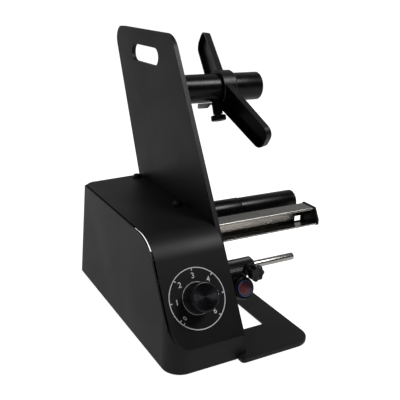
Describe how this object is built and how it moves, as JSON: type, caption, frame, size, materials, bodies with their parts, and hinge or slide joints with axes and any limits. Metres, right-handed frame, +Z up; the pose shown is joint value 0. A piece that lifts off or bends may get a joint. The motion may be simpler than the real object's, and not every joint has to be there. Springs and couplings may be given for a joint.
{
  "type": "motorised label dispenser",
  "caption": "Motorised roll winder and dispenser: housing with speed dial, leaning side plate, supply shaft with winged guide, driven roller, peel channel and photo sensor.",
  "frame": {"origin": "middle of the footprint, on the surface that the rubber feet stand on", "axes": "+X from the side plate towards the free ends of the rollers, +Y to the back, +Z up"},
  "size_m": [0.22, 0.3336, 0.3018],
  "materials": {
    "satin_black_paint": "satin powder coat with a fine texture",
    "gloss_black_paint": "smooth gloss black",
    "black_anodised": "black anodised, face turned in fine rings",
    "black_plastic": "moulded, satin",
    "black_rubber": "matte",
    "stainless_steel": "brushed along its length",
    "zinc_steel": "zinc plated",
    "dark_steel": "black oxide",
    "aluminium": "machined",
    "bronze": "sintered bronze",
    "circuit_board": "green solder mask",
    "red_lens": "dull red filter"
  },
  "bodies": {
    "frame": {"base_plate": "satin_black_paint", "rubber_foot_front_left": "black_rubber", "rubber_foot_front_middle": "black_rubber", "rubber_foot_front_right": "black_rubber", "rubber_foot_back_left": "black_rubber", "rubber_foot_back_middle": "black_rubber", "rubber_foot_back_right": "black_rubber", "side_plate": "satin_black_paint", "plate_screw_1": "zinc_steel", "plate_screw_2": "zinc_steel", "plate_screw_3": "zinc_steel", "housing_wall": "satin_black_paint", "housing_cover": "satin_black_paint", "cover_screw_1": "dark_steel", "cover_screw_2": "dark_steel", "power_inlet": "black_plastic", "potentiometer": "zinc_steel", "potentiometer_nut": "zinc_steel", "control_board": "circuit_board", "motor_bracket": "zinc_steel", "gearbox": "zinc_steel", "drive_motor": "dark_steel", "drive_belt": "black_rubber", "bearing_block": "aluminium", "roller_bearing_inner": "zinc_steel", "roller_bearing_outer": "zinc_steel", "supply_axle": "zinc_steel", "axle_circlip": "dark_steel", "brake_spring": "zinc_steel", "brake_washer": "bronze", "peel_channel": "stainless_steel", "peel_mount_plate": "black_plastic", "peel_end_cap": "black_plastic", "peel_screw_1": "zinc_steel", "peel_screw_2": "zinc_steel", "guide_rod": "stainless_steel", "rod_screw": "zinc_steel"},
    "speed_knob": {"speed_knob": "black_anodised", "potentiometer_shaft": "aluminium"},
    "drive_pulley": {"drive_pulley": "aluminium", "motor_shaft": "zinc_steel"},
    "winding_roller": {"winding_roller": "gloss_black_paint", "roller_sleeve": "gloss_black_paint", "roller_end_cap": "gloss_black_paint", "roller_shaft": "zinc_steel", "driven_pulley": "aluminium"},
    "supply_tube": {"supply_tube": "gloss_black_paint", "supply_bush_inner": "bronze", "supply_bush_outer": "bronze", "supply_end_plug": "black_plastic"},
    "roll_guide": {"roll_guide": "black_plastic", "guide_leaf": "zinc_steel"},
    "guide_thumb_screw": {"guide_thumb_screw": "black_plastic"},
    "sensor_clamp": {"sensor_clamp": "black_plastic", "sensor_barrel": "black_plastic", "sensor_lens": "red_lens", "sensor_front_ring": "black_plastic", "sensor_back_nut": "black_plastic"},
    "star_knob": {"star_knob": "black_plastic", "star_knob_stud": "zinc_steel"}
  },
  "joints": [
    {"name": "supply_spin", "type": "hinge", "parent": "frame", "child": "supply_tube", "pos_m": [0, 0.05119, 0.2348], "axis": [1, 0, 0], "continuous": true},
    {"name": "guide_slide", "type": "slide", "parent": "supply_tube", "child": "roll_guide", "axis": [1, 0, 0], "range_m": [-0.049, 0.036]},
    {"name": "guide_screw_turn", "type": "hinge", "parent": "roll_guide", "child": "guide_thumb_screw", "pos_m": [0.0488, 0.05119, 0.2348], "axis": [0, -0.342, -0.9397], "range_deg": [0, 360]},
    {"name": "roller_spin", "type": "hinge", "parent": "frame", "child": "winding_roller", "pos_m": [0, -0.03681, 0.1103], "axis": [1, 0, 0], "continuous": true},
    {"name": "motor_spin", "type": "hinge", "parent": "frame", "child": "drive_pulley", "pos_m": [0, -0.03681, 0.0538], "axis": [1, 0, 0], "continuous": true},
    {"name": "knob_turn", "type": "hinge", "parent": "frame", "child": "speed_knob", "pos_m": [-0.07166, -0.13634, 0.0679], "axis": [0, 0.8654, -0.5011], "range_deg": [0, 268]},
    {"name": "sensor_slide", "type": "slide", "parent": "frame", "child": "sensor_clamp", "axis": [1, 0, 0], "range_m": [-0.006, 0.052]},
    {"name": "star_knob_turn", "type": "hinge", "parent": "sensor_clamp", "child": "star_knob", "pos_m": [0.0048, -0.09831, 0.0692], "axis": [0, -0.9925, 0.1219], "range_deg": [0, 360]}
  ],
  "couplings": [
    {"joint": "motor_spin", "follows": "roller_spin", "ratio": 0.66667}
  ]
}
